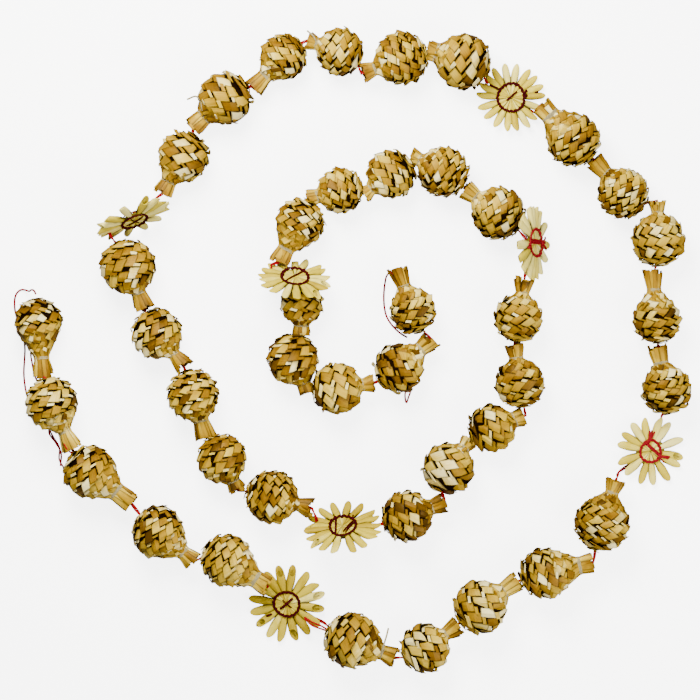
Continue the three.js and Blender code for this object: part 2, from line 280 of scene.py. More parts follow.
class Batch:
    """Grids of points on their way to becoming one mesh."""

    def __init__(self):
        self.points, self.quads, self.uv, self.tone, self.shade, self.slots = [], [], [], [], [], []
        self.count = 0

    def add(self, points, quads, uv, tone, shade, slot=0):
        """points, uv, tone and shade have one row per point; quads number the points from 0."""
        points = np.asarray(points).reshape(-1, 3)
        total = len(points)
        self.points.append(points)
        self.quads.append(np.asarray(quads) + self.count)
        self.uv.append(np.broadcast_to(np.asarray(uv).reshape(-1, 2), (total, 2)))
        self.tone.append(np.broadcast_to(np.asarray(tone, float).ravel(), (total,)))
        self.shade.append(np.broadcast_to(np.asarray(shade, float).ravel(), (total,)))
        self.slots.append(np.full(len(quads), slot))
        self.count += total

    def slabs(self, top, outward, thickness, uv, tone, shade):
        """Thin closed plates: top is (plates, rows, columns, 3), and each gets a lower face thickness
        below it, against outward, with walls all round. The way that the rows run, crossed with the way
        that the columns run, must point outward."""
        plates, rows, columns, _ = top.shape
        both = np.concatenate([top, top - outward * thickness], axis=1).reshape(plates, -1, 3)
        upper = grid_quads(rows, columns)[:, ::-1]
        lower = grid_quads(rows, columns) + rows * columns
        rim = np.concatenate(
            [
                np.arange(columns),
                np.arange(1, rows) * columns + columns - 1,
                (rows - 1) * columns + np.arange(columns - 2, -1, -1),
                np.arange(rows - 2, 0, -1) * columns,
            ]
        )
        after = np.roll(rim, -1)
        walls = np.stack([rim, after, after + rows * columns, rim + rows * columns], -1)
        one = np.concatenate([upper, lower, walls])
        quads = (one[None] + (np.arange(plates) * 2 * rows * columns)[:, None, None]).reshape(-1, 4)

        def twice(values, size):
            """The values of the upper faces, and again for the lower ones."""
            return np.concatenate([np.broadcast_to(values, (plates, rows, columns, size))] * 2, 1)

        self.add(both, quads, twice(uv, 2), twice(tone[..., None], 1), twice(shade[..., None], 1))

    def tube(self, path, radius, sides):
        """A closed tube of this radius along path, whose ends are drawn in to a point."""
        path = np.asarray(path, float)
        ahead = unit(np.gradient(path, axis=0))
        side = unit(np.cross(ahead, np.where(np.abs(ahead[:, 2:]) > 0.9, (1.0, 0.0, 0.0), (0.0, 0.0, 1.0))))
        up = np.cross(side, ahead)
        turn = (np.arange(sides) * 2 * np.pi / sides)[None, :, None]
        rings = path[:, None] + radius * (np.cos(turn) * side[:, None] + np.sin(turn) * up[:, None])
        ends = [np.repeat(path[[i]], sides, 0)[None] for i in (0, -1)]
        rings = np.concatenate([ends[0], rings, ends[1]])
        along = np.concatenate([[0], np.cumsum(np.linalg.norm(np.diff(path, axis=0), axis=1))]) / mm
        along = np.concatenate([along[:1], along, along[-1:]])
        uv = np.stack(np.broadcast_arrays(np.arange(sides)[None] / sides * 3.0, along[:, None]), -1)
        self.add(rings, grid_quads(len(rings), sides, wrap_columns=True)[:, ::-1], uv, 0.5, 0.0)

    def finish(self, name, materials, smooth_below=40):
        """The mesh object: points at one place are joined, and edges sharper than smooth_below degrees
        stay crisp."""
        mesh = bpy.data.meshes.new(name)
        points, quads = np.concatenate(self.points), np.concatenate(self.quads)
        mesh.from_pydata(points, [], quads)
        mesh.uv_layers.new(name="Straw")
        uv = np.concatenate(self.uv)[quads.ravel()]
        mesh.uv_layers["Straw"].data.foreach_set("uv", uv.ravel().astype(np.float32))
        for key, values in (("tone", self.tone), ("shade", self.shade)):
            attribute = mesh.attributes.new(key, "FLOAT", "POINT")
            attribute.data.foreach_set("value", np.concatenate(values).astype(np.float32))
        mesh.polygons.foreach_set("material_index", np.concatenate(self.slots).astype(np.int32))
        for material in materials:
            mesh.materials.append(material)
        weld(mesh)
        mesh.shade_smooth()
        mesh.set_sharp_from_angle(angle=np.radians(smooth_below))
        made = bpy.data.objects.new(name, mesh)
        bpy.context.collection.objects.link(made)
        return made


def weld(mesh):
    """Joins points at one place, so that drawn-in ends close, and drops the faces that vanish."""
    work = bmesh.new()
    work.from_mesh(mesh)
    bmesh.ops.remove_doubles(work, verts=work.verts, dist=1e-6)
    bmesh.ops.dissolve_degenerate(work, edges=work.edges, dist=1e-7)
    work.to_mesh(mesh)
    work.free()


def smooth_path(points, step):
    """Points every step along a smooth curve through points: between two of them it is a cubic whose
    slopes are those of the chords about each."""
    points = np.asarray(points, float)
    at = np.concatenate([[0], np.cumsum(np.linalg.norm(np.diff(points, axis=0), axis=1))])
    slope = np.gradient(points, at, axis=0)
    where = np.linspace(0, at[-1], max(2, int(round(at[-1] / step)) + 1))
    i = np.clip(np.searchsorted(at, where, side="right") - 1, 0, len(at) - 2)
    span = (at[i + 1] - at[i])[:, None]
    t = ((where - at[i]) / (at[i + 1] - at[i]))[:, None]
    return (
        (2 * t**3 - 3 * t**2 + 1) * points[i]
        + (t**3 - 2 * t**2 + t) * span * slope[i]
        + (3 * t**2 - 2 * t**3) * points[i + 1]
        + (t**3 - t**2) * span * slope[i + 1]
    )


def inside_box(points, margin=0.05 * mm):
    """The points, kept this far inside the CAD box, so that none lies below the table."""
    return np.clip(points, np.array(cad_box[0]) + margin, np.array(cad_box[1]) - margin)


def settle(made, slot, *nodes):
    """The piece rides with the garland and stands for these CAD nodes, which are hidden. slot is not used."""
    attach(made, "root")
    if nodes:
        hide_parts(*nodes)
    return made


# %% [markdown]
# ## The loose ends of the thread
#
# Both are the CAD model's own routes. The outer end leaves the back of the first ball and lies on
# the table along it; the inner loop comes out of the last tail and goes in again behind the last
# ball.

# %%
STRAND_SHIFT = (-1.8975, 0.0484, 0)  # the strand is centred over the origin after it is laid out
CORD_WIDTH = 1.2 * mm

LOOSE_END = [
    (-188.6, 33.6, 13.4), (-189.8, 35.6, 11.6), (-191.6, 36.2, 8.6), (-193.4, 35.4, 5),
    (-196, 36.2, 2), (-198.6, 36.4, 0.75), (-201.2, 34.4, 0.75), (-202.6, 30, 0.75),
    (-202.4, 24.5, 0.75), (-200.6, 17.5, 0.75), (-198, 10, 0.75), (-196.4, 2, 0.75),
    (-196.6, -6, 0.75), (-197, -13, 0.75), (-196.4, -21, 0.75), (-195.2, -27, 0.75),
    (-193.8, -31, 0.75),
]
HANGING_LOOP = [
    (26.4, 45, 13.2), (24.4, 46.6, 11.4), (22.2, 44.8, 7.6), (21.2, 41, 3.4),
    (20.6, 36.5, 0.9), (20.4, 31, 0.75), (20.8, 25.5, 0.75), (22, 20.5, 0.75),
    (24.6, 16, 0.75), (28, 12.2, 0.75), (31.4, 9.4, 1), (34.6, 7.6, 1.6),
]


def loose_thread(name, route):
    """A free cord that lies along route, in millimetres before the strand was centred."""
    path = inside_box(smooth_path((np.array(route) + STRAND_SHIFT) * mm, 1.2 * mm), CORD_WIDTH / 2)
    batch = Batch()
    batch.tube(path, CORD_WIDTH / 2, 8)
    made = settle(batch.finish(name + "_yarn", [crimson_thread]), "thread", name)


loose_thread("loose_end", LOOSE_END)
loose_thread("hanging_loop", HANGING_LOOP)

# %% [markdown]
# ## Where the beads lie
#
# A ball's axis runs level from its closed end to its tail. Its cut end is a flat fan whose corners
# lie evenly about the axis, so their mean gives the axis, and the axis's height gives the radius. A
# sun's middle and its face come from the lashing ring that lies on it.

# %%
AXIS_HEIGHT = 0.89  # of a ball's radius
TAIL = 8 * mm
SHORTEST_NECK = 0.97  # of a ball's radius, from its middle to the tie
RING_ABOVE_SUN = 1.99 * mm
BALLS_BEFORE_SUN = [5, 5, 5, 6, 5, 5, 5]
BALLS_AFTER_LAST_SUN = 5
FACE_SIZES = [  # each ball's faces against the usual: some balls are plaited from wider straw
    1.0, 1.1, 1.1, 1.0, 1.0, 1.2, 1.15, 1.2, 1.0, 0.95, 1.05, 1.0, 1.05, 0.95,
    1.1, 1.15, 1.0, 0.95, 0.9, 1.25, 1.2, 1.15, 1.05, 0.95, 1.05, 0.92, 1.05, 1.2,
    1.1, 1.05, 1.0, 1.0, 0.92, 1.05, 0.92, 0.92, 1.0, 1.0, 1.15, 1.05, 0.95,
]
WIDE_NECKS = {3: 5.2, 5: 5.0, 9: 4.8, 15: 5.2, 16: 5.4, 20: 4.8, 36: 4.6}  # half their width, in millimetres


def corners(name):
    """The corners of a CAD node, each once, as rows of x, y, z in metres."""
    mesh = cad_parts[name].data
    flat = np.empty(len(mesh.vertices) * 3)
    mesh.vertices.foreach_get("co", flat)
    return np.unique(flat.reshape(-1, 3).round(7), axis=0)


def read_ball(name, towards):
    """A ball's middle, heading, radius and reach (from its middle to the cut ends of its tail). The tail
    points roughly along towards, the way to the next bead."""
    points = corners(name)
    middle = points.mean(axis=0)
    ahead = towards
    for tolerance in (3 * mm, 1 * mm, 0.4 * mm, 0.2 * mm):
        ahead = unit(ahead * (1, 1, 0))
        along = points @ ahead
        cap = points[along > along.max() - tolerance].mean(axis=0)
        ahead = cap - middle
    ahead = unit(ahead * (1, 1, 0))
    radius = cap[2] / AXIS_HEIGHT
    reach = np.ptp(points @ ahead) - radius + 0.3 * mm
    middle = cap - ahead * reach
    return {"name": name, "kind": "ball", "middle": middle, "ahead": ahead, "radius": radius, "reach": reach}


def read_sun(number):
    """A sun's middle, the three axes of its own frame (the last is its face's normal) and its radius."""
    ring = corners(f"sun_lashing_{number}")
    straws = corners(f"sun_{number}")
    centre = (ring.min(axis=0) + ring.max(axis=0)) / 2
    normal = np.linalg.svd(ring - ring.mean(axis=0))[2][2]
    normal *= np.sign(normal @ (centre - straws.mean(axis=0)))
    axes = np.array(Vector((0, 0, 1)).rotation_difference(Vector(normal)).to_matrix())
    middle = centre - normal * RING_ABOVE_SUN
    radius = np.linalg.norm(straws - middle, axis=1).max()
    return {"name": f"sun_{number}", "kind": "sun", "middle": middle, "axes": axes, "radius": radius}


names, used = [], 0
for number, before in enumerate(BALLS_BEFORE_SUN + [BALLS_AFTER_LAST_SUN], 1):
    names += [f"ball_{used + i:02d}" for i in range(1, before + 1)] + [f"sun_{number}"]
    used += before
names.pop()
places = [corners(name).mean(axis=0) for name in names]
ways = [q - p for p, q in zip(places[:-1], places[1:])]
strand = [
    read_ball(name, way) if name.startswith("ball") else read_sun(int(name[-1]))
    for name, way in zip(names, ways + ways[-1:])
]
balls = [bead for bead in strand if bead["kind"] == "ball"]
for number, ball in enumerate(balls, 1):
    ball["face_size"] = FACE_SIZES[number - 1]
    ball["tie"] = ball["reach"] - min(TAIL, ball["reach"] - ball["radius"] * SHORTEST_NECK)
    ball["neck"] = WIDE_NECKS.get(number, 3.0 + 1.2 * (number * 0.618 % 1)) * mm
for bead, after in zip(strand, strand[1:] + strand[:1]):
    apart = np.linalg.norm((after["middle"] - bead["middle"])[:2])
    two_balls = after["kind"] == bead["kind"] == "ball"
    bead["free"] = apart - after["radius"] if two_balls else 0  # room for the tail
suns = [bead for bead in strand if bead["kind"] == "sun"]
for ball in balls[:3]:
    print(ball["name"], "at", ball["middle"].round(4), "radius and reach", ball["radius"], ball["reach"])
for sun in suns[:4]:
    print(sun["name"], "at", sun["middle"].round(4), "normal", sun["axes"][:, 2].round(2))

# %% [markdown]
# ## The plaited balls
#
# The plait is a lattice on the ball: rings of faces about the axis, each ring turned against the one
# before. A face is a leaning rhombus, one straw wide. Its two edges run at 70 and -44 degrees from
# the ball's axis, so a narrow slanting gap stays open beside each face on its tail side, and
# a sliver of the crossing straw shows in it. Many faces are creased where the straw was folded.
#
# The round of the ball runs on as a straight cone to the tie. The plait covers the first half of the
# cone. From there the straws lie side by side, pass through the tie and fan out as the cut tail.

# %%
STRAW_WIDTH = 6.2 * mm
STRAW_THICK = 0.45 * mm
ROUND_PITCH = 7.1 * mm  # from face to face round the ball's waist
RING_PITCH = 6.4 * mm  # from ring to ring
RING_LEAN = -0.23  # of a face's place, from each ring to the next
EDGE_ROUND = np.radians(70)
EDGE_ALONG = np.radians(-44)
FIRST_RING = np.radians(8)
LAST_RING_FACES = 9
CONE_COVERED = 0.5  # of the way from the round of the ball to the tie
MEAN_SURFACE = 0.955  # of the radius: the faces lean through this surface
TUCKED = -0.8 * mm
PROUD = 0.4 * mm
FLATNESS = 0.55
FACE_LENGTH = 1.15  # of the straw's width
FACE_WIDTH = 0.92
SLIVER_PLACE = 0.79
SLIVER_WIDTH = 0.24
TAIL_STRAWS = 13
NECK_SHARE = 0.62  # of a long straw's points, those before the tie
TAIL_HALF_WIDTH = 6.0 * mm
TAIL_FLATNESS = 0.62
SHORTEST_TAIL = 6 * mm
LONGEST_TAIL = 11 * mm
CORE_SHARE = 0.893  # of the ball's radius, for the painted shade inside
TWINE_TURNS = 3.6
BROWNER_BALLS = [6, 10, 26, 27, 30, 38, 40]


def cone_start(ball):
    """The angle from the closed end at which the straight cone to the tie leaves the round, and the
    length of the cone over the round's radius."""
    radius = ball["radius"] * MEAN_SURFACE
    span = np.hypot(ball["tie"], ball["neck"])
    touch = np.pi - np.arctan2(ball["neck"], ball["tie"]) - np.arccos(min(1, radius / span))
    return touch, np.sqrt(max(span**2 - radius**2, 0)) / radius


def on_ball(ball, theta, phi, height):
    """Points of the ball by theta, the angle from its closed end, phi, the turn about its axis from
    straight up, and height above the mean surface. Past the start of the cone, theta goes on as a
    length over the radius."""
    radius = ball["radius"] * MEAN_SURFACE
    turned = np.minimum(theta, cone_start(ball)[0])
    past = (theta - turned) * radius
    along = past * np.sin(turned) - (radius + height) * np.cos(turned)
    away = past * np.cos(turned) + (radius + height) * np.sin(turned)
    return in_ball(ball, along, away, phi)


def in_ball(ball, along, away, phi, flat=1.0):
    """Points at a distance along the ball's axis and away from it, turned by phi and flattened by flat."""
    side = np.array([-ball["ahead"][1], ball["ahead"][0], 0])
    up = np.array([0, 0, 1.0])
    along, away, phi, flat = np.broadcast_arrays(along, away, phi, flat)
    points = (
        ball["middle"]
        + along[..., None] * ball["ahead"]
        + (away * np.sin(phi))[..., None] * side
        + (away * np.cos(phi) * flat)[..., None] * up
    )
    return inside_box(points)


def lattice(ball, rng):
    """The middles of the plait's faces as theta and phi, how wide each is against a face at the waist, and
    how long all are."""
    radius = ball["radius"]
    size = ball["face_size"] * rng.uniform(1.03, 1.08)
    touch, cone = cone_start(ball)
    last = touch + cone * CONE_COVERED
    rings = int(round((last - FIRST_RING) * radius / RING_PITCH / size)) + 1
    round_waist = int(round(2 * np.pi * radius / ROUND_PITCH / size))
    long = (last - FIRST_RING) * radius / (rings - 1) / RING_PITCH
    counts = [3, round_waist // 2] + [round_waist] * (rings - 3) + [LAST_RING_FACES]
    theta, phi, width = [], [], []
    start = rng.uniform(0, 2 * np.pi)
    lean = RING_LEAN + rng.normal(0, 0.08)
    for ring, middle in enumerate(np.linspace(FIRST_RING, last, rings)):
        count = counts[ring]
        step = 2 * np.pi / count
        turned = start + ring * lean * 2 * np.pi / round_waist
        theta.append(np.full(count, middle))
        phi.append(turned + np.arange(count) * step)
        width.append(np.full(count, step * radius / ROUND_PITCH))
    return np.concatenate(theta), np.concatenate(phi), np.concatenate(width), long


def face_points(ball, theta, phi, size, a, b, height, shift):
    """Points of the faces at a across the lean and b round it, both from -0.5 to 0.5. size is how wide and
    how long the faces are. A face is flat, so it stands off the round ball by d^2 / 2r at distance d
    from its middle."""
    edge_a = STRAW_WIDTH * np.array([np.cos(EDGE_ALONG), np.sin(EDGE_ALONG)])
    edge_b = STRAW_WIDTH * np.array([np.cos(EDGE_ROUND), np.sin(EDGE_ROUND)])
    wide, long = size
    x = (a * edge_a[0] + b * edge_b[0]) * long + shift[0]
    y = (a * edge_a[1] + b * edge_b[1]) * wide + shift[1]
    standing = FLATNESS * (x**2 + (y * np.sin(theta)) ** 2) / (2 * ball["radius"])
    return on_ball(ball, theta + x / ball["radius"], phi + y / ball["radius"], height + standing)


def plait_faces(ball, batch, rng, mean_tone):
    """The faces of the plait and the slivers between them."""
    *places, long = lattice(ball, rng)
    theta, phi, width = (v[:, None, None] for v in places)
    count = len(theta)
    draw = lambda spread: rng.normal(0, spread, (count, 1, 1))
    pick = lambda share: rng.random((count, 1, 1)) < share
    spread = np.array([-0.5, -0.39, 0, 0.39, 0.5])
    a, b = np.meshgrid(spread, spread, indexing="ij")
    a, b = a[None], b[None]
    fold = np.where(pick(0.5), a, b) * np.where(pick(0.5), 1, -1)
    crease = np.where(pick(0.72), rng.uniform(1.6, 3.6, (count, 1, 1)), 0) * mm
    height = (
        TUCKED
        + (PROUD - TUCKED) * (a + 0.5)
        - 0.1 * mm * (np.abs(2 * b) ** 12 + np.abs(2 * a) ** 12)
        + draw(0.8 * mm) * b
        + draw(0.5 * mm) * a
        - crease * np.maximum(0, fold)
        + draw(0.1 * mm)
    )
    twist = a * b
    bent = (draw(0.25 * mm) + draw(1.2 * mm) * twist, draw(0.25 * mm) + draw(1.2 * mm) * twist)
    length = FACE_LENGTH + draw(0.07)
    points = face_points(ball, theta, phi, (width, long), a * length, b * FACE_WIDTH, height, bent)
    below = height - STRAW_THICK
    lower = face_points(ball, theta, phi, (width, long), a * length, b * FACE_WIDTH, below, bent)
    # the 0.1 * a is painted light: each face is lighter towards its proud end
    tone = mean_tone + draw(0.19) + np.where(pick(0.3), 0.36, 0) + 0.1 * a + 0 * b
    # painted shade: dark rims round each face, and a little on its tucked half
    rim = np.maximum(np.abs(2 * a), np.abs(2 * b)) > 0.99
    shade = np.where(rim, 0.9 - 0.15 * a, 0.1 * (a < 0)) + 0 * theta
    seed = rng.uniform(0, 400, (count, 1, 1, 2))
    uv = np.stack(np.broadcast_arrays(b * 6.2, a * 6.2 + 0 * theta), -1)
    uv = np.where(pick(0.35)[..., None], uv[..., ::-1], uv) + seed
    batch.slabs(points, unit(points - lower), STRAW_THICK, uv, tone, shade)

    shown = rng.random(count) < 0.97
    draw = lambda spread: rng.normal(0, spread, (shown.sum(), 1, 1))
    across = np.array([-0.5, 0.5])[None, :, None]
    b = np.linspace(-0.56, 0.06, 4)[None, None]
    a = SLIVER_PLACE + draw(0.02) + across * (SLIVER_WIDTH + draw(0.04))
    height = -0.55 * mm + draw(0.18 * mm) + draw(0.5 * mm) * across + 0 * b
    size = (width[shown], long)
    points = face_points(ball, theta[shown], phi[shown], size, a, b, height, (0, 0))
    lower = face_points(ball, theta[shown], phi[shown], size, a, b, height - STRAW_THICK, (0, 0))
    pale = rng.random((shown.sum(), 1, 1)) < 0.4
    tone = np.where(pale, 0.9, mean_tone) + draw(0.1) + 0 * a + 0 * b
    uv = np.stack(np.broadcast_arrays(a * 6.2, b * 6.2 + 0 * a), -1) + seed[shown]
    # painted shade: each sliver is a little darker, as it lies in a gap
    batch.slabs(points, unit(points - lower), 0.5 * mm, uv, tone, 0.12 + 0 * tone)


def straws_to_tail(ball, batch, rng, mean_tone):
    """The long straws that run down the cone into the tie and out of it as the cut tail."""
    radius, tie, neck = ball["radius"] * MEAN_SURFACE, ball["tie"], ball["neck"]
    tail = max(ball["reach"] - tie, SHORTEST_TAIL)
    tail = np.clip(ball["free"] - tie - rng.uniform(0, 1.5) * mm, tail, LONGEST_TAIL)
    straws = np.arange(TAIL_STRAWS)[:, None, None]
    t = np.linspace(0, 1, 13)[None, :, None]
    b = np.linspace(-0.5, 0.5, 5)[None, None]
    before = np.clip(t / NECK_SHARE, 0, 1)
    after = np.clip((t - NECK_SHARE) / (1 - NECK_SHARE), 0, 1)
    draw = lambda spread: rng.normal(0, spread, (TAIL_STRAWS, 1, 1))
    touch, cone = cone_start(ball)
    theta = touch - 0.2 + (cone + 0.2) * before
    turned = np.minimum(theta, touch)
    past = (theta - turned) * radius
    inner = radius - 0.9 * mm * (1 - before)
    along = past * np.sin(turned) - inner * np.cos(turned) + after * tail * (1 + draw(0.12))
    spread = max(TAIL_HALF_WIDTH * (0.55 + 0.45 * min(1, tail / TAIL)), neck * 1.1)
    away = past * np.cos(turned) + inner * np.sin(turned) + (spread - neck) * after**0.8 * (1 + draw(0.12))
    wide = np.interp(t, [0, 0.45, NECK_SHARE, 0.78, 1], [6.4, 4.6, 2.6, 3.4, 4.4]) * mm
    wide = wide * max(1, neck / (3.8 * mm))
    turn = rng.uniform(0, 2 * np.pi)
    phi = turn + straws * 2 * np.pi / TAIL_STRAWS + draw(0.1)
    phi = phi + 0.75 * before + b * wide / np.maximum(away, 2.0 * mm)
    flat = 1 - (1 - TAIL_FLATNESS * min(1, 3.6 * mm / neck)) * np.clip(before * 1.6 - 0.6, 0, 1)
    height = (0.35 * mm * np.cos(np.pi * b) + 0.3 * mm * (straws % 2)) * (1 - 0.4 * after)
    points = in_ball(ball, along + 0 * b, away + height, phi, flat)
    lower = in_ball(ball, along + 0 * b, away + height - STRAW_THICK, phi, flat)
    tone = mean_tone + draw(0.16) + 0.14 - 0.24 * after + 0 * b
    # painted shade: dark where the straws leave the plait, and along each straw's edges in the gaps between
    # them
    shade = 0.5 * np.clip(1 - before * 4, 0, 1) + 0.85 * np.abs(2 * b) ** 4 + 0 * phi
    uv = np.stack(np.broadcast_arrays(b * 6.0, t * 26 + 0 * phi), -1)
    uv = uv + rng.uniform(0, 400, (TAIL_STRAWS, 1, 1, 2))
    batch.slabs(points, unit(points - lower + 1e-9), STRAW_THICK, uv, tone, np.clip(shade, 0, 0.85))


def painted_shade_core(ball, batch):
    """Painted shade inside the ball, which the plait's gaps show: a near-black lathe body just under the
    straws.
    """
    radius, tie, neck = ball["radius"] * CORE_SHARE, ball["tie"], ball["neck"]
    theta = np.radians(np.linspace(8, 132, 9))
    along = np.concatenate([[-radius], -radius * np.cos(theta), [tie * 0.95, tie + 1 * mm, tie + 1 * mm]])
    away = np.concatenate([[0], radius * np.sin(theta), [neck * 0.75, neck * 0.4, 0]])
    phi = np.arange(16) * 2 * np.pi / 16
    flat = np.concatenate([np.ones(10), [0.5, 0.4, 0.4]])
    points = in_ball(ball, along[:, None], away[:, None], phi[None], flat[:, None])
    batch.add(points, grid_quads(len(along), 16, wrap_columns=True), (0, 0), 0.0, 1.0, slot=1)


TWINE_ENDS = {  # cut ends of the tie that stand off, from the tie, in millimetres
    "ball_06": [(1.4, 5, 3), (3, 10, 2), (4.2, 14.4, -2)],
    "ball_18": [(-2, 4, 1), (-6, 7.8, -1)],
    "ball_20": [(-1.2, 4.4, 2), (-1.8, 8.4, 2), (-4.6, 11.8, 0), (-10.4, 10.4, -4)],
}


def twine_tie(ball, rng):
    """The turns of pale twine round the neck, and the cut end that stands off some ties."""
    tie, neck = ball["tie"], ball["neck"]
    turns = np.linspace(0, TWINE_TURNS, 80)
    along = tie + (turns - TWINE_TURNS / 2) * 0.6 * mm + rng.normal(0, 0.05 * mm, 80)
    away = neck + 0.35 * mm + 0.1 * mm * np.sin(turns * 9)
    flat = TAIL_FLATNESS * min(1, 3.6 * mm / neck) + 0.06
    path = in_ball(ball, along, away, turns * 2 * np.pi + rng.uniform(0, 6), flat)
    batch = Batch()
    batch.tube(path, 0.4 * mm, 6)
    if ball["name"] in TWINE_ENDS:
        start = ball["middle"] + ball["ahead"] * tie + (0, 0, neck * 0.7)
        end = smooth_path(start + np.array([(0, 0, 0)] + TWINE_ENDS[ball["name"]]) * mm, 1.5 * mm)
        batch.tube(end, 0.55 * mm, 6)
    return settle(batch.finish(ball["name"] + "_twine", [pale_twine]), "pale_straw")


for number, ball in enumerate(balls, 1):
    rng = np.random.default_rng(100 + number)
    mean_tone = 0.42 + rng.normal(0, 0.04) - 0.1 * (number in BROWNER_BALLS)
    batch = Batch()
    plait_faces(ball, batch, rng, mean_tone)
    straws_to_tail(ball, batch, rng, mean_tone)
    painted_shade_core(ball, batch)
    settle(batch.finish(ball["name"] + "_plait", [golden_straw, painted_shade_inside], 17), "straw", ball["name"])
    twine_tie(ball, rng)

# %% [markdown]
# ## The suns
#
# Each ray is a whole straw: narrow where the lashing pinches it, widest at about two thirds of its
# length, and cut on a slant, so that its tip is open on one side like a quill; painted shade darkens
# its inside. Where two rays press together near the lashing, painted shade draws a dark crease
# between them. The straws run on under the lashing towards the middle as fine pleats, on the closed
# disc of the straws that cross below them, both darkened with painted shade. A sun that stands on
# edge between two balls has its rays closed into two fans.

# %%
WALL = 0.35 * mm  # of a straw at its cut
CUP = 1.5 * mm  # how far a standing sun's rays lean back at their tips
SUN_GAPS = [137, 240, -30, 40, 155, -100, 140]  # where the thread slips between two rays, in degrees
RINGS = [7.5, 6.4, 8.3, 8.0, 8.1, 8.2, 8.3]  # each lashing's radius, in millimetres
RAY_COUNTS = [16, 14, 18, 16, 18, 16, 18]
RAY_WIDTHS = [1.08, 1.0, 0.9, 1.08, 0.98, 1.15, 0.96]
OPEN_TIPS = [0.6, 0.2, 0.12, 0.5, 0.12, 0.1, 0.2]  # the share of straws whose cut faces up
SUN_TONES = [0.45, 0.74, 0.66, 0.78, 0.52, 0.85, 0.64]
UNEVEN = [0.03, 0.09, 0.04, 0.05, 0.04, 0.05, 0.05]  # how far each sun's rays stray from even spacing
SLANTS = [7.0, 7.0, 7.0, 4.5, 6.0, 3.2, 6.0]  # how long each sun's slanted cuts are, in millimetres
BUNCHED = [0, 0, 0, 0.28, 0.1, 0.2, 0.1]  # how far a standing sun's rays close into two fans
YARNS = {2: crimson_thread, 6: crimson_thread}  # the brighter lashings
PLEATS = 24
CUP_START = 6.8 * mm  # from the sun's middle; a standing sun's rays lean back from there
CREASE_END = 14 * mm  # from the middle, where the painted shade of the creases between the rays has faded out


def in_sun(sun, points):
    """Points of the sun's own frame, in metres, brought to their place."""
    return inside_box(sun["middle"] + points @ sun["axes"].T)


def bunched(sun, number, angle):
    """The angle of a ray that has moved towards the nearer end of the sun's level axis."""
    level = np.arctan2(sun["axes"][1, 2], sun["axes"][0, 2]) + np.pi / 2
    return angle - BUNCHED[number] * np.sin(2 * (angle - level))


def ray(sun, batch, angle, length, number, rng):
    """One straw: skin from near the middle to the slanted cut, then its inner wall back to a closed end, with
    painted shade that deepens into the straw.
    """
    sides = 14
    turn = np.arange(sides) * 2 * np.pi / sides
    roll = (0 if rng.random() < OPEN_TIPS[number] else np.pi) + rng.normal(0, 0.22)
    lip = length - SLANTS[number] * mm * (1 + np.sin(turn + roll)) / 2 * rng.uniform(0.85, 1.15)
    share = np.array([0.05, 0.1, 0.17, 0.25, 0.33, 0.37, 0.42, 0.55, 0.7, 0.85, 1.0])[:, None]
    s = share * lip
    far = s / length
    half_wide = np.interp(far, [0, 0.33, 0.45, 0.6, 0.8, 1.0], [0.3, 1.7, 2.2, 2.65, 2.45, 2.0]) * mm
    pressed = np.maximum(1.12 * np.pi * s / RAY_COUNTS[number], 0.25 * mm)  # by the rays beside it
    half_wide = np.minimum(half_wide, pressed + 3 * mm * (far > 0.42))
    half_high = np.interp(far, [0, 0.3, 0.36, 0.6, 1.0], [1.25, 1.2, 1.05, 1.6, 1.65]) * mm
    size = RAY_WIDTHS[number] * rng.uniform(0.94, 1.06)
    inner = [(1.0, WALL), (0.9, WALL * 1.2), (0.72, WALL * 1.5)]
    rows = [(s, half_wide * size, half_high)]
    for keep, wall in inner:
        depth = (1 - keep) * 0.5 * length
        rows.append((lip[None] - depth, half_wide[-1:] * size - wall, half_high[-1:] - wall))
    along = np.concatenate([r[0] for r in rows])
    wide = np.concatenate([np.broadcast_to(r[1], (len(r[0]), sides)) for r in rows])
    high = np.concatenate([np.broadcast_to(r[2], (len(r[0]), sides)) for r in rows])
    along = np.concatenate([along[:1], along, along[-1:]])
    wide = np.concatenate([0 * wide[:1], wide, 0 * wide[-1:]])
    high = np.concatenate([0 * high[:1], high, 0 * high[-1:]])
    across = wide * np.cos(turn)
    above = high * np.sin(turn)
    cup = CUP if sun["axes"][2, 2] < 0.9 else 0
    above = above - cup * np.maximum(0, along - CUP_START) / (sun["radius"] - CUP_START)
    points = np.stack(
        [
            along * np.cos(angle) - across * np.sin(angle),
            along * np.sin(angle) + across * np.cos(angle),
            above,
        ],
        -1,
    )
    rows_out = len(share) + 1
    inside = (np.arange(len(points)) - rows_out).clip(0)[:, None]
    # painted shade inside the cut: darker the deeper into the straw
    shade = np.array([0, 0.05, 0.3, 0.6, 0.7])[np.minimum(inside, 4)] + 0 * turn
    reach = (along / length).clip(0, 1)
    # painted shade along both sides of each ray near the middle
    beside = 0.95 * np.abs(np.cos(turn)) ** 4 * np.clip((0.78 - reach) / 0.3, 0, 1)
    half_pitch = np.maximum(np.pi * along / RAY_COUNTS[number], 0.3 * mm)
    # painted shade: a dark crease where two rays press together
    crease = np.clip((np.abs(across) / half_pitch - 0.66) / 0.26, 0, 1)
    crease = crease * np.clip((CREASE_END - along) / (2 * mm), 0, 1)
    shade = np.maximum(shade, np.where(inside > 0, 0, np.maximum(beside, crease)))
    tone = rng.normal(SUN_TONES[number], 0.12) + 0 * shade
    uv = np.stack(np.broadcast_arrays(turn[None] * 2.2, along / mm), -1) + rng.uniform(0, 300, 2)
    quads = grid_quads(len(points), sides, wrap_columns=True)[:, ::-1]
    batch.add(in_sun(sun, points), quads, uv, tone, shade)


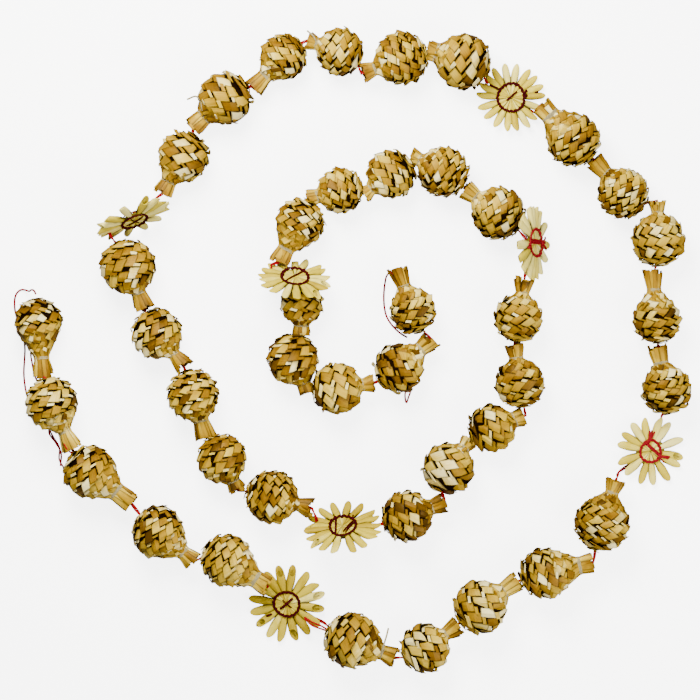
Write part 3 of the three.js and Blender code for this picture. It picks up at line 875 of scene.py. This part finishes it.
def pleats(sun, batch, rng):
    """The straws' flattened middles inside the ring: fine folds that run in towards the centre, on the
    closed disc of the straws that cross below them. Painted shade darkens the disc and each fold's edges."""
    away = np.array([0, 4, 8.4, 8.9, 8.4, 4, 0])[:, None] * mm
    height = np.array([0.9, 0.9, 0.7, 0, -0.7, -0.9, -0.9])[:, None] * mm
    turn = np.arange(24) * 2 * np.pi / 24
    disc = np.stack(np.broadcast_arrays(away * np.cos(turn), away * np.sin(turn), height), -1)
    uv = np.stack(np.broadcast_arrays(turn * 4, away / mm), -1)
    quads = grid_quads(7, 24, wrap_columns=True)
    # painted shade: the disc is darkened so that it reads dark between the pleats
    batch.add(in_sun(sun, disc), quads, uv, 0.5, 0.8)
    t = np.linspace(0, 1, 5)[None, :, None]
    b = np.linspace(-1, 1, 5)[None, None]
    turn = (np.arange(PLEATS) + rng.uniform(-0.2, 0.2, PLEATS))[:, None, None] * 2 * np.pi / PLEATS
    away = (0.3 + 6.6 * t) * mm + 0 * turn
    turn = turn + b * 0.124
    height = 1.3 * mm + rng.uniform(-0.1, 0.15, (PLEATS, 1, 1)) * mm - 0.35 * mm * b**2 - 0.25 * mm * t
    points = np.stack(np.broadcast_arrays(away * np.cos(turn), away * np.sin(turn), height), -1)
    up = np.array([0, 0, 1.0]) + 0 * points
    tone = rng.normal(0.62, 0.14, (PLEATS, 1, 1)) + 0 * t + 0 * b
    # painted shade at the edges of each fold, and a little towards the centre
    shade = 0.9 * b**4 + 0.1 * (1 - t) + 0 * turn
    uv = np.stack(np.broadcast_arrays(b * 0.6, t * 6 + 0 * turn), -1) + rng.uniform(0, 300, (PLEATS, 1, 1, 2))
    batch.slabs(in_sun(sun, points), up @ sun["axes"].T, 0.4 * mm, uv, tone, shade)


def lashing(sun, batch, rng, gap, radius, rays):
    """The red thread round the straws: two strands that ride over each and dip between, and one below."""
    turn = np.linspace(0, 2 * np.pi, 129)
    wave = -np.cos(rays * (turn - gap))
    wander = 0.25 * mm * np.cos(2 * turn + rng.uniform(0, 6))
    wander = wander + 0.2 * mm * np.cos(3 * turn + rng.uniform(0, 6))
    for offset, lift in ((-0.34, 0.0), (0.34, 0.15)):
        away = radius + offset * mm + wander + 0.2 * mm * wave
        height = (1.5 + lift) * mm + 0.25 * mm * wave
        path = np.stack([away * np.cos(turn), away * np.sin(turn), height], -1)
        batch.tube(in_sun(sun, path), 0.48 * mm, 6)
    under = np.stack([radius * np.cos(turn[::2]), radius * np.sin(turn[::2]), -1.5 * mm + 0 * turn[::2]], -1)
    batch.tube(in_sun(sun, under), 0.42 * mm, 6)


def stroke(sun, batch, start, end, radius):
    """A stitch over the sun's face, from one place to another, in millimetres; it goes in at both ends."""
    t = np.linspace(0, 1, 9)[:, None]
    flat = np.array(start)[None] * (1 - t) + np.array(end)[None] * t
    path = np.concatenate([flat, 1.1 + 0.75 * np.sin(np.pi * t) ** 0.5], 1) * mm
    batch.tube(in_sun(sun, path), radius * mm, 6)


STITCHES = [  # each sun's stitches and knots: from x, y to x, y, and the yarn's radius, in millimetres
    [(-3.8, -3.0, 3.6, 3.4, 0.75), (-2.6, 2.4, 2.8, -2.2, 0.4), (-12.2, -7.4, -9.4, -6.2, 0.7)],
    [(-3.4, 5.0, 5.6, -3.0, 0.6), (-2.6, 5.6, 5.8, -1.8, 0.5), (-1.4, 5.0, -0.6, 12.2, 0.6),
     (-1.2, 5.0, 0.8, 12.6, 0.6), (-1.0, 5.2, 2.4, 11.8, 0.55), (5.0, -2.6, 11.8, -3.4, 0.6),
     (5.0, -3.0, 11.2, -4.4, 0.6), (4.8, -3.2, 8.4, -6.8, 0.5), (-5.2, 3.4, -0.4, 6.6, 0.7)],
    [(-2.6, -1.8, 3.4, 3.6, 0.6), (8.0, 2.6, 9.4, 4.4, 0.8), (-12.8, 7.6, -6.8, 4.8, 0.6),
     (14.6, 3.2, 16.4, 3.8, 0.5), (8.4, 0.4, 9.6, 1.6, 0.7)],
    [(-4.8, -3.6, 4.8, 3.8, 0.5), (-3.6, 4.6, 3.8, -4.2, 0.4)],
    [(-4.0, -6.4, -4.2, 6.6, 0.65), (0.6, -5.2, 6.0, 3.8, 0.5), (1.8, -6.0, 6.8, 2.6, 0.5),
     (5.6, 4.8, 6.0, 9.0, 0.45)],
    [(-7.0, -0.2, 7.2, -0.4, 0.55), (-6.6, 0.8, 7.0, 0.5, 0.6), (-5.8, 1.8, 6.4, 1.4, 0.55),
     (8.4, 0.2, 13.4, 3.8, 0.6), (8.6, -0.2, 14.6, -3.8, 0.65), (8.4, 0, 12.4, 0.4, 0.8),
     (-11.4, -3.4, -7.6, -2.2, 0.7), (-9.6, -1.2, -7.4, -1.8, 0.7)],
    [(-5.4, -4.8, 5.0, 5.2, 0.55), (-8.2, -1.6, -7.0, 1.6, 0.9), (-7.6, 2.0, -6.0, 4.4, 0.7)],
]
for number, (sun, gap) in enumerate(zip(suns, np.radians(SUN_GAPS)), 1):
    rng = np.random.default_rng(500 + number)
    batch = Batch()
    for k in range(RAY_COUNTS[number - 1]):
        angle = gap + (k + 0.5) * 2 * np.pi / RAY_COUNTS[number - 1] + rng.normal(0, UNEVEN[number - 1])
        length = sun["radius"] * rng.uniform(0.95, 1.0)
        ray(sun, batch, bunched(sun, number - 1, angle), length, number - 1, rng)
    pleats(sun, batch, rng)
    settle(batch.finish(sun["name"] + "_straws", [pale_straw]), "pale_straw", sun["name"])
    batch = Batch()
    lashing(sun, batch, rng, gap, RINGS[number - 1] * mm, RAY_COUNTS[number - 1])
    for x0, y0, x1, y1, radius in STITCHES[number - 1]:
        stroke(sun, batch, (x0, y0), (x1, y1), radius)
    yarn = [YARNS.get(number, lashing_thread)]
    settle(batch.finish(f"sun_{number}_lashing_thread", yarn), "thread", f"sun_lashing_{number}")
print("suns", len(suns))

# %% [markdown]
# ## The thread
#
# Two strands lie side by side through every ball and past every sun, on the same way as the CAD
# cord: straight through a ball, behind a sun's hub, and between two rays or round the rim. Where the
# thread is slack, a bend of it stands off beside the beads.

# %%
BEYOND_TAIL = 0.9 * mm
BESIDE_HUB = 2.85 * mm
GAP_RADIUS = 17 * mm
PAST_RIM = 1.3 * mm
TWIST_LENGTH = 22 * mm  # of one full twist of the two strands
STRAND_RADIUS = 0.5 * mm
STRAND_OFFSET = 0.52 * mm  # of each strand from their shared middle
SLACK_RADIUS = 0.55 * mm
SUN_SIDES = ["front back", "back back", "front front", "back front", "front back", "back back", "front back"]
SLACK = [  # slack bends of the thread beside the beads, in millimetres before the strand was centred
    [(-184.6, -14, 14), (-187.6, -19, 9), (-190.4, -14.5, 4), (-191.8, -8, 2.6), (-192.6, -2, 3),
     (-190, 5, 6)],
    [(-186.4, -13.4, 14.5), (-182.6, -16.8, 17), (-178.6, -18.2, 16.5), (-176.4, -17.6, 15.5)],
    [(-185.4, -15.6, 14), (-181.8, -18.4, 16.2), (-177.6, -19.4, 16.6)],
    [(-180.8, -45, 9), (-181.2, -50, 7), (-177.4, -55.6, 6.5), (-174.2, -61.8, 5), (-174.6, -70, 4)],
    [(-181.6, -47, 7.6), (-178.4, -53, 5.6), (-175.2, -58.8, 4.6), (-175.4, -66, 3), (-172, -72, 4)],
    [(-171.4, -56, 17), (-169.4, -59.4, 17.5), (-166.6, -62, 16)],
    [(-136.4, -88.6, 15), (-131.6, -91.2, 14.4), (-126.4, -97.4, 13.4)],
    [(34.4, -22, 3), (33.2, -27.6, 1.4), (34.1, -32, 0.8), (35.3, -28.6, 0.9), (36.8, -24.4, 1.2),
     (37.2, -22, 3)],
    [(-27.4, -160.6, 9.6), (-22.6, -163.6, 11.4), (-17.2, -165.6, 14), (-12, -168.6, 15.4)],
    [(-27.4, -161.6, 9.4), (-22.6, -165.6, 11), (-17.2, -167.4, 13.4), (-12, -169.2, 14.6)],
]


def through_ball(ball):
    """The thread inside a ball, which it may enter beside the closed end, and where it leaves the tail."""
    return [
        ball["middle"] - ball["ahead"] * ball["radius"] * 0.6,
        ball["middle"] + ball["ahead"] * (ball["reach"] + BEYOND_TAIL),
    ]


def past_sun(sun, gap, sides, came_from, goes_to):
    """The thread's corners at a sun: it slips through a gap from the front, or clears the rim at the
    back."""

    def place(distance, angle, height):
        """A point at a distance, angle and height in the sun's own frame."""
        return in_sun(sun, np.array([distance * np.cos(angle), distance * np.sin(angle), height]))

    def way(side, angle, neighbour):
        """The corners between this neighbour and the hub, in that order."""
        if side == "front":
            return [place(GAP_RADIUS, angle, BESIDE_HUB), place(GAP_RADIUS, angle, -BESIDE_HUB)]
        seen = (neighbour - sun["middle"]) @ sun["axes"]
        rim = place(sun["radius"] + PAST_RIM, np.arctan2(seen[1], seen[0]), -BESIDE_HUB)
        return [rim] if seen[2] > -BESIDE_HUB else []

    enter, leave = sides.split()
    return [*way(enter, gap, came_from), place(0, 0, -BESIDE_HUB), *way(leave, gap + np.pi, goes_to)[::-1]]


route = []
for i, bead in enumerate(strand):
    if bead["kind"] == "ball":
        route += through_ball(bead)
    else:
        at = suns.index(bead)
        before, after = through_ball(strand[i - 1])[1], through_ball(strand[i + 1])[0]
        route += past_sun(bead, bunched(bead, at, np.radians(SUN_GAPS[at])), SUN_SIDES[at], before, after)
route = np.array(route)
steps = np.maximum(1, np.ceil(np.linalg.norm(np.diff(route, axis=0), axis=1) / (2.5 * mm)).astype(int))
line = np.concatenate(
    [np.linspace(p, q, n, endpoint=False) for p, q, n in zip(route[:-1], route[1:], steps)] + [route[-1:]]
)
batch = Batch()
ahead = unit(np.gradient(line, axis=0))
side = unit(np.cross(ahead, (0, 0, 1)))
up = np.cross(side, ahead)
gone = np.cumsum(np.linalg.norm(np.diff(line, axis=0, prepend=line[:1]), axis=1))[:, None]
turn = gone / TWIST_LENGTH * 2 * np.pi
for way in (0, np.pi):
    strand_path = line + STRAND_OFFSET * (np.cos(turn + way) * side + np.sin(turn + way) * up)
    strand_path[:, 2] = np.maximum(strand_path[:, 2], 0.55 * mm)
    batch.tube(strand_path, STRAND_RADIUS, 6)
for slack in SLACK:
    batch.tube(smooth_path((np.array(slack) + STRAND_SHIFT) * mm, 1.2 * mm), SLACK_RADIUS, 6)
settle(batch.finish("thread_strands", [red_thread]), "thread", "thread")
print("thread route", len(route), "corners")

# %% [markdown]
# ## The table

# %%
bpy.ops.mesh.primitive_plane_add(size=4, location=(0, 0, 0))
table = bpy.context.object
table.name = "table"
table.data.materials.append(table_white)
table.visible_diffuse = False  # the glowing table doesn't light the straw from below
table.visible_glossy = False
